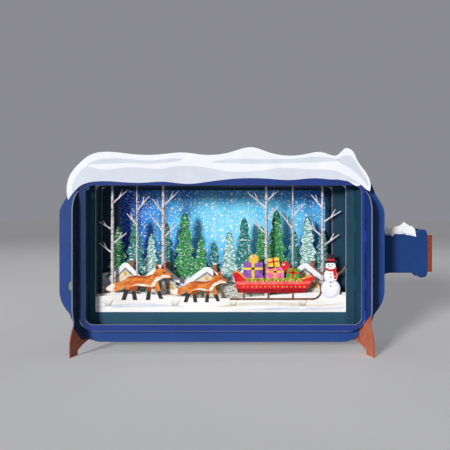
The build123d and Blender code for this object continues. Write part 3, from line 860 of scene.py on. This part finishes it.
birches = {
    "foot": 44, "top": 128.3, "bottom": 35.3,
    "half": 101.16,
    "trunks": ((-0.85, 3), (-0.66, 1.8), (-0.455, 3.4), (0.345, 3.2), (0.55, 2), (0.78, 2.8)),  # share, width
    "taper": 0.64,
    "shade": 0.25,  # the shaded side starts at this share of the half width
    "marks": 24,
    "markLengths": (0.25, 0.7),  # shares of the width
    "markRises": (0.3, 0.8),  # mm
    "markDrop": 0.35,
}
dice = random.Random(11)


def trunkHalf(width, z):
    share = (z - birches["bottom"]) / (birches["top"] - birches["bottom"])
    return width / 2 * (1 - (1 - birches["taper"]) * share)


for share, width in birches["trunks"]:
    x = share * birches["half"]
    foot, top, shade = birches["foot"], birches["top"], birches["shade"]
    low, high = trunkHalf(width, foot), trunkHalf(width, top)
    ink("bark", 1, [(low * shade, foot), (low, foot), (high, top), (high * shade, top)], x)
    for number in range(birches["marks"]):
        z = foot + (number + dice.random()) / birches["marks"] * (top - foot)
        edge = trunkHalf(width, z) * dice.choice((-1, 1))
        inner = edge - math.copysign(width * dice.uniform(*birches["markLengths"]), edge)
        rise = dice.uniform(*birches["markRises"])
        ink("barkDark", 2, [(edge, z - birches["markDrop"]), (inner, z), (edge, z + rise)], x)
printOn("birch_frame", "birchPrint")


# Figures: two foxes, a sledge with parcels and a snowman

figures = {
    "half": 102.87,
    "snowLine": 38.3,
    "foxes": ((-0.61, 2, 0.88), (-0.16, 0, 0.76)),  # share of the half, height over the snow line, scale
    "sledge": 0.38,
    "snowman": (0.82, 3),
    "drifts": (  # soft shadows on the snow, mm from the middle and over the table
        ("snowShade", ((-98, 33), (-80, 35.4), (-56, 36), (-30, 33.6), (-52, 33.2), (-80, 32.6))),
        ("creamShade", (
            (-6, 33), (16, 36.4), (44, 37), (72, 35), (92.5, 36.2), (92.5, 35.4), (70, 33.2), (30, 34.4),
        )),
        ("snowShade", ((20, 31), (48, 33), (80, 32.6), (92.5, 33), (92.5, 31.8), (60, 30.6))),
    ),
    "tufts": (-88, -36, 9, 63),
    "tuftFoot": 33,
}
fox = {
    "farLegs": (
        ((5, 12), (5.4, 6), (4, -2), (8, -2), (8.6, 6), (11, 12)),
        ((-10, 12), (-8.4, 6), (-7.4, -2), (-3.4, -2), (-4.8, 6), (-2, 12)),
    ),
    "nearLegs": (
        ((10, 13), (13.4, 5.6), (16, -1), (19.6, -1), (17, 6), (15, 14)),
        ((-13.5, 15), (-14.6, 7.5), (-17.6, -2), (-13.6, -2), (-10.6, 7), (-6, 12)),
    ),
    "body": (
        (12, 20.6), (4, 19.2), (-5, 19.6), (-12, 18), (-15, 13), (-12.5, 9), (-4, 10.6), (5, 9.4),
        (11, 9.6), (14, 14),
    ),
    "head": ((19.5, 25.6), (14, 25), (10, 20), (11, 14), (15.5, 15), (19, 17), (22.5, 18.4), (23, 22.4)),
    "snout": ((20, 25), (28, 19.4), (27, 17.6), (19, 17)),
    "ears": (((12.4, 23), (12.6, 31.5), (17, 25.4)), ((16.4, 25), (20, 31.4), (21, 24))),
    "earInside": 0.55,
    "brush": ((-12, 17.6), (-18, 14), (-25, 12.6), (-31, 7.4), (-26, 5.4), (-19.5, 6.4), (-14, 11.6)),
    "brushTip": ((-30.6, 7.4), (-26, 5.7), (-23, 6.2), (-24.4, 8.4), (-23, 10), (-24.6, 12.4), (-28, 10.4)),
    "chest": (
        (18.6, 17.2), (15.6, 15.4), (13.4, 13.4), (11.6, 10), (8, 10), (10.4, 14), (13.4, 17.6), (16, 18.6),
    ),
    "belly": ((8, 10.2), (2, 10.2), (-4, 11), (-9, 10.2), (-3, 12.2), (4, 11.8)),
    "cheek": ((26.8, 17.9), (22, 17.8), (18, 17.4), (17.4, 19.4), (20, 20.2), (24, 19.6)),
    "back": ((11, 20.2), (4, 19), (-5, 19.4), (-11, 17.8), (-5, 17.6), (4, 17.2)),
    "nose": (27, 18.7, 1, 0.9),
    "eye": (20.4, 22.2, 0.75, 0.6),
}


def drawFox(x, foot, scale):
    def draw(inkName, layer, points):
        ink(inkName, layer, points, x, foot, scale)

    for leg in fox["farLegs"]:
        draw("foxShade", 1, leg)
    for leg in fox["nearLegs"]:
        draw("foxRed", 2, leg)
    for leg in fox["farLegs"] + fox["nearLegs"]:  # dark below the knee
        draw("dark", 3, leg[1:5])
    draw("foxRed", 3, softLoop(fox["brush"]))
    draw("foxWhite", 4, softLoop(fox["brushTip"]))
    draw("foxRed", 4, softLoop(fox["body"]))
    draw("foxShade", 5, softLoop(fox["back"]))
    draw("foxWhite", 5, softLoop(fox["belly"]))
    for ear in fox["ears"]:
        draw("foxRed", 5, ear)
        middle = Vector((sum(p[0] for p in ear) / 3, sum(p[1] for p in ear) / 3))
        draw("dark", 6, [middle + (Vector(point) - middle) * fox["earInside"] for point in ear])
    draw("foxRed", 6, fox["snout"])
    draw("foxRed", 7, softLoop(fox["head"]))
    draw("foxWhite", 8, softLoop(fox["chest"]))
    draw("foxWhite", 9, softLoop(fox["cheek"]))
    draw("dark", 10, oval(*fox["nose"]))
    draw("dark", 10, oval(*fox["eye"]))


sledge = {
    "hull": ((-31, 22), (-27, 6), (25, 6), (33, 18), (30, 20), (22, 17), (-20, 17.5), (-27, 23.5)),
    "keel": ((-27.7, 8.8), (-27, 6), (25, 6), (27.2, 9.4)),
    "shine": ((-28.8, 14.6), (-28.2, 12.2), (28.4, 12.6), (30, 15)),
    "rim": ((-30, 21.6), (-27.2, 22.6), (-20.4, 16.8), (22, 16.4), (30.6, 19)),
    "rimWidth": 0.9,
    "runner": 1.6,
    "heel": (-33, 1),
    "curl": (31, 8, 7),  # middle and radius of the runner's front end
    "posts": (-22, -3, 16),
    "post": (4, 1.6, 7),  # height of its middle, width, height
    "parcels": (  # middle, size, turn, colour and ribbon
        ((-15, 23), (15, 13), 0, "purple", "yellow"), ((2, 21), (14, 10), 0, "pink", "gold"),
        ((1, 29), (9, 8), 8, "yellow", "red"), ((16, 20.5), (10, 9), -6, "leaf", "red"),
    ),
    "ribbon": 0.14,  # shares of the parcel: a ribbon's width, and how far the level one lies over the middle
    "ribbonRise": 0.12,
    "baubles": (((-14.5, 32), (4, 3.6), "gold"), ((10, 26.6), (3.4, 3.4), "red")),
    "glint": (0.9, 0.6, 40),
    "glintPlace": 0.35,  # share of the radii
}
garland = {  # on the sledge's side, mm
    "count": 15,
    "start": -19.5,
    "length": 41,
    "height": 15.6,
    "zigzag": 0.5,
    "leaf": (2.1, 0.85),
    "lean": 35,
    "berryShift": 0.6,
    "berry": (15.2, 0.6, 0.6),  # height and radii
    "spread": 1.15,  # the studs below lie this much further apart
    "stud": (10.6, 0.5, 0.5),
}


def drawSledge(x, foot):
    def draw(inkName, layer, points):
        ink(inkName, layer, points, x, foot)

    curlX, curlZ, radius = sledge["curl"]
    angles = [math.radians(degrees) for degrees in range(-90, 81, 10)]
    curl = [(curlX + radius * math.cos(a), curlZ + radius * math.sin(a)) for a in angles]
    draw("wood", 1, stroke([sledge["heel"], *curl], sledge["runner"]))
    for post in sledge["posts"]:
        draw("wood", 2, block(post, *sledge["post"]))
    narrow, rise = sledge["ribbon"], sledge["ribbonRise"]
    for middle, size, turn, colour, ribbon in sledge["parcels"]:
        draw(colour, 3, block(*middle, *size, turn))
        draw(ribbon, 4, block(*middle, size[0] * narrow, size[1], turn))
        draw(ribbon, 4, block(middle[0], middle[1] + size[1] * rise, size[0], size[1] * narrow, turn))
    for middle, radii, colour in sledge["baubles"]:
        draw(colour, 5, oval(*middle, *radii))
        left, up = [sledge["glintPlace"] * value for value in radii]
        draw("snow", 6, oval(middle[0] - left, middle[1] + up, *sledge["glint"]))
    draw("red", 6, sledge["hull"])
    draw("redShade", 7, sledge["keel"])
    draw("redLight", 7, sledge["shine"])
    draw("gold", 8, stroke(sledge["rim"], sledge["rimWidth"]))
    lean = garland["lean"]
    for number in range(garland["count"]):
        odd = number % 2
        place = garland["start"] + number * garland["length"] / (garland["count"] - 1)
        height = garland["height"] + odd * garland["zigzag"]
        draw("leaf", 9 + odd, oval(place, height, *garland["leaf"], lean - 2 * lean * odd))
        berry = oval(place + garland["berryShift"], *garland["berry"])
        draw("yellow" if number % 3 else "pink", 11, berry)
        draw("gold", 8, oval(place * garland["spread"], *garland["stud"]))


snowman = {
    "balls": ((0, 6, 7.4), (0, 16, 5.4), (0, 23.4, 4)),
    "lit": (-0.1, 0.08, 0.86, 0.88),  # lit part of a ball, in shares of its radius: shift and radii
    "arms": (
        ((-4, 17), (-9, 20), (-13, 23.6), (-13.4, 22.6), (-9.2, 18.4), (-4, 15.4)),
        ((4, 17), (9, 20.4), (12, 24.6), (12.6, 23.8), (9.4, 18.8), (4, 15.4)),
    ),
    "hat": ((0, 29.8, 6, 6), (0, 26.8, 9.6, 1.6)),
    "hatBand": (0, 28.3, 6, 1.3),
    "scarf": ((-4.4, 21), (0, 19.4), (4.4, 21), (4, 22.4), (0, 20.9), (-4, 22.4)),
    "scarfEnd": ((1.6, 20.4), (4.2, 20.8), (5.2, 14), (2.6, 13.6)),
    "fringe": (3.9, 15.4, 2.5, 0.7, -8),
    "nose": ((0.4, 24), (0.4, 22.9), (-3.4, 22.7)),
    "coals": ((-1.7, 24.8), (1.3, 24.8), (0, 17.8), (0, 15), (0, 11), (0, 8)),
    "coal": 0.5,
}


def drawSnowman(x, foot):
    def draw(inkName, layer, points):
        ink(inkName, layer, points, x, foot)

    for arm in snowman["arms"]:
        draw("wood", 1, arm)
    for layer, (dx, dz, radius) in enumerate(snowman["balls"]):
        draw("snowShade", 2 + 2 * layer, oval(dx, dz, radius, radius, corners=28))
        right, up, width, height = [share * radius for share in snowman["lit"]]
        draw("snow", 3 + 2 * layer, oval(dx + right, dz + up, width, height))
    for part in snowman["hat"]:
        draw("dark", 8, block(*part))
    draw("red", 9, block(*snowman["hatBand"]))
    draw("red", 8, softLoop(snowman["scarf"]))
    draw("red", 9, snowman["scarfEnd"])
    draw("gold", 10, block(*snowman["fringe"]))
    draw("foxRed", 9, snowman["nose"])
    for dx, dz in snowman["coals"]:
        draw("dark", 10, oval(dx, dz, snowman["coal"], snowman["coal"], corners=12))


tuft = {  # dry grass that looks out of the snow, mm
    "leans": (-3.4, -2.1, -0.8, 0.5, 1.6, 2.9),
    "height": 4.6,
    "longer": 1.4,
    "root": (0.3, 0.3),  # share of the lean, and half a blade's width
    "bend": 0.6,
    "tip": 1.3,
    "snow": ((-3.4, -0.6), (0, 1), (3.4, -0.6), (0, -1.2)),
}


def drawTuft(x, foot):
    root, half = tuft["root"]
    for number, lean in enumerate(tuft["leans"]):
        height = tuft["height"] + tuft["longer"] * (number % 3)
        blade = [
            (lean * root - half, 0), (lean * root + half, 0),
            (lean, height * tuft["bend"]), (lean * tuft["tip"], height),
        ]
        ink("straw", 4, blade, x, foot)
    ink("snow", 5, softLoop(tuft["snow"]), x, foot)


for colour, outline in figures["drifts"]:
    ink(colour, 1, softLoop(outline))
for place in figures["tufts"]:
    drawTuft(place, figures["tuftFoot"])
for share, rise, scale in figures["foxes"]:
    drawFox(share * figures["half"], figures["snowLine"] + rise, scale)
drawSledge(figures["sledge"] * figures["half"], figures["snowLine"])
share, rise = figures["snowman"]
drawSnowman(share * figures["half"], figures["snowLine"] + rise)
printOn("figures_frame", "figuresPrint")


# Shadows on the snow of the cap and of the neck

for outline in cap["shadows"]:
    ink("capShade", 1, softLoop(outline))
printOn("snow_cap", "capPrint")
ink("capShade", 1, softLoop(neck["shadow"]))
printOn("neck_snow", "neckPrint")


# Camera at the photograph's place, level, with the lens moved down a little

camera = {
    "distance": 458,  # mm in front of the walls' front edges
    "height": 116.2,
    "focal": 619,  # pixels
    "photo": 450,
    "eye": (222, 200),  # pixel that the lens looks straight at
    "sensor": 36,
    "nearest": 0.01,
}
bpy.ops.object.camera_add(location=(bodyX, wallFrontY - camera["distance"] * mm, camera["height"] * mm))
eye = bpy.context.object
eye.rotation_euler = (math.pi / 2, 0, 0)
eye.data.sensor_width = camera["sensor"]
eye.data.lens = camera["focal"] / camera["photo"] * camera["sensor"]
eye.data.shift_x = 0.5 - camera["eye"][0] / camera["photo"]
eye.data.shift_y = camera["eye"][1] / camera["photo"] - 0.5
eye.data.clip_start = camera["nearest"]
bpy.context.scene.camera = eye

studio = {
    "floorSize": 6,
    "floor": (paint(222, 222, 222), paint(228, 228, 227)),
    "floorPatch": 300,  # mm
    "floorFinish": (0.9, 0.1),  # roughness and specular
    "farFloorShade": paint(131, 131, 136),
    "paintedLightPool": (0.35, 1.6),  # painted pool of light: the pale floor starts and ends its fade to the darker far colour at these distances from the card
    "floorGlow": 0.165,  # what the eye sees of the floor and backdrop, but the card doesn't
    "worldColour": paint(229, 229, 239),
    "backdrop": 0.33,
    "world": 0.15,
    "target": (0, 0, 0.08),
    # an even light that comes in low, 30 degrees to the left of the front: place, spread and strength
    "keyLight": ((-1.24, -2.14, 0.68), 11, 3.0),
    # place, width and watts
    "fillLight": ((0.12, -0.95, 0.42), 0.6, 0.4),
    "rearLight": ((0.62, 1.02, 0.5), 0.7, 12),  # for the back and the right side, off the floor
}


def seenRay(tree):  # 1 for rays that show a surface, straight or in a gloss
    rays = addNode(tree, "ShaderNodeLightPath").outputs
    mirrored = calc(tree, "MAXIMUM", rays["Is Glossy Ray"], rays["Is Transmission Ray"])
    return calc(tree, "MAXIMUM", rays["Is Camera Ray"], mirrored)


bpy.ops.mesh.primitive_plane_add(size=studio["floorSize"], location=(0, 0, 0))
floor = bpy.context.object
floor.name = "floor"
floorMaterial, floorTree = startMaterial("paleFloor", *studio["floorFinish"])
floorStops = list(zip((0.3, 0.7), studio["floor"]))
floorTone = ramp(floorTree, noise(floorTree, studio["floorPatch"]), floorStops)
# painted pool of light: the floor is pale near the card and darker further off
fromCard = vectorCalc(floorTree, "LENGTH", places(floorTree))[1]
fade = addNode(
    floorTree, "ShaderNodeMapRange",
    {0: fromCard, 1: studio["paintedLightPool"][0], 2: studio["paintedLightPool"][1]},
    interpolation_type="SMOOTHSTEP",
)
floorColour = blendColour(floorTree, fade.outputs[0], floorTone, studio["farFloorShade"])
floorShader = floorTree.nodes["Principled BSDF"]
floorTree.links.new(floorColour, floorShader.inputs["Base Color"])
floorShader.inputs["Emission Color"].default_value = (1, 1, 1, 1)
floorGlow = calc(floorTree, "MULTIPLY", seenRay(floorTree), studio["floorGlow"])
floorTree.links.new(floorGlow, floorShader.inputs["Emission Strength"])
floor.data.materials.append(floorMaterial)


def addLamp(name, kind):
    place, width, power = studio[name]
    bpy.ops.object.light_add(type=kind, location=place)
    lamp = bpy.context.object
    lamp.name = name
    lamp.data.energy = power
    if kind == "SUN":
        lamp.data.angle = math.radians(width)
    else:
        lamp.data.shape = "SQUARE"
        lamp.data.size = width
    lamp.rotation_euler = (Vector(studio["target"]) - Vector(place)).to_track_quat("-Z", "Y").to_euler()
    lamp.visible_camera = False
    return lamp


addLamp("keyLight", "SUN")
addLamp("fillLight", "AREA")
offRearLight = bpy.data.collections.new("offRearLight")
offRearLight.objects.link(floor)
addLamp("rearLight", "AREA").light_linking.receiver_collection = offRearLight
for entry in offRearLight.collection_objects:
    entry.light_linking.link_state = "EXCLUDE"
world = bpy.data.worlds.new("studio")
world.use_nodes = True
background = world.node_tree.nodes["Background"]
background.inputs["Color"].default_value = studio["worldColour"]
lift = studio["backdrop"] - studio["world"]
strength = calc(world.node_tree, "MULTIPLY_ADD", seenRay(world.node_tree), lift, studio["world"])
world.node_tree.links.new(strength, background.inputs["Strength"])
bpy.context.scene.world = world
bpy.context.scene.view_settings.view_transform = "Standard"
print("camera and lights placed")
